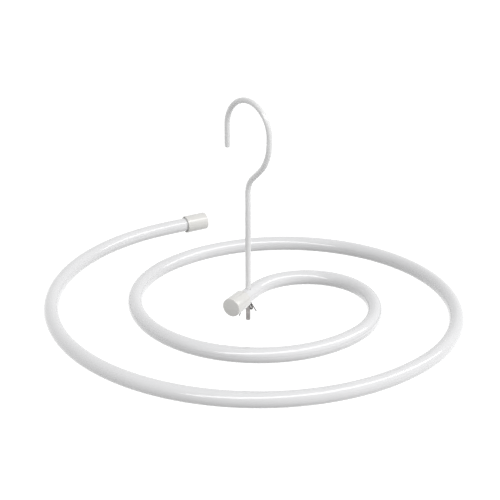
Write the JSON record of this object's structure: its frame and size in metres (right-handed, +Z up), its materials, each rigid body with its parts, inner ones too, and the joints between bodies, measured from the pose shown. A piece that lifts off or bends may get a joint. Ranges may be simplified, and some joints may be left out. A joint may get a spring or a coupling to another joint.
{
  "type": "spiral drying rack",
  "caption": "Flat spiral of coated tube with capped ends, hung from a swivelling wire hook so that a sheet or blanket can dry wound between its turns.",
  "frame": {"origin": "the point on the inside of the hook's crown, on the swivel axis, by which the rack hangs", "axes": "+Z up along the swivel axis; the spiral lies level; +Y away from the viewer, +X to the viewer's right"},
  "size_m": [0.444, 0.4526, 0.2501],
  "materials": {
    "white_coat": "smooth glossy white coat",
    "tube_steel": "plain drawn steel under the coat",
    "cap_plastic": "smooth moulded warm grey-white plastic",
    "hook_steel": "bare drawn wire",
    "hook_coat": "satin white dipped coat",
    "pin_steel": "bright half-round wire, slightly dulled"
  },
  "bodies": {
    "hook": {"hook_wire": "hook_steel", "hook_coating": "hook_coat", "split_pin": "pin_steel"},
    "spiral": {"tube_coating": "white_coat", "spiral_tube": "tube_steel", "inner_end_cap": "cap_plastic", "outer_end_cap": "cap_plastic"}
  },
  "joints": [
    {"name": "hook_swivel", "type": "hinge", "parent": "hook", "child": "spiral", "pos_m": [0, 0, -0.21486], "axis": [0, 0, 1], "continuous": true}
  ]
}
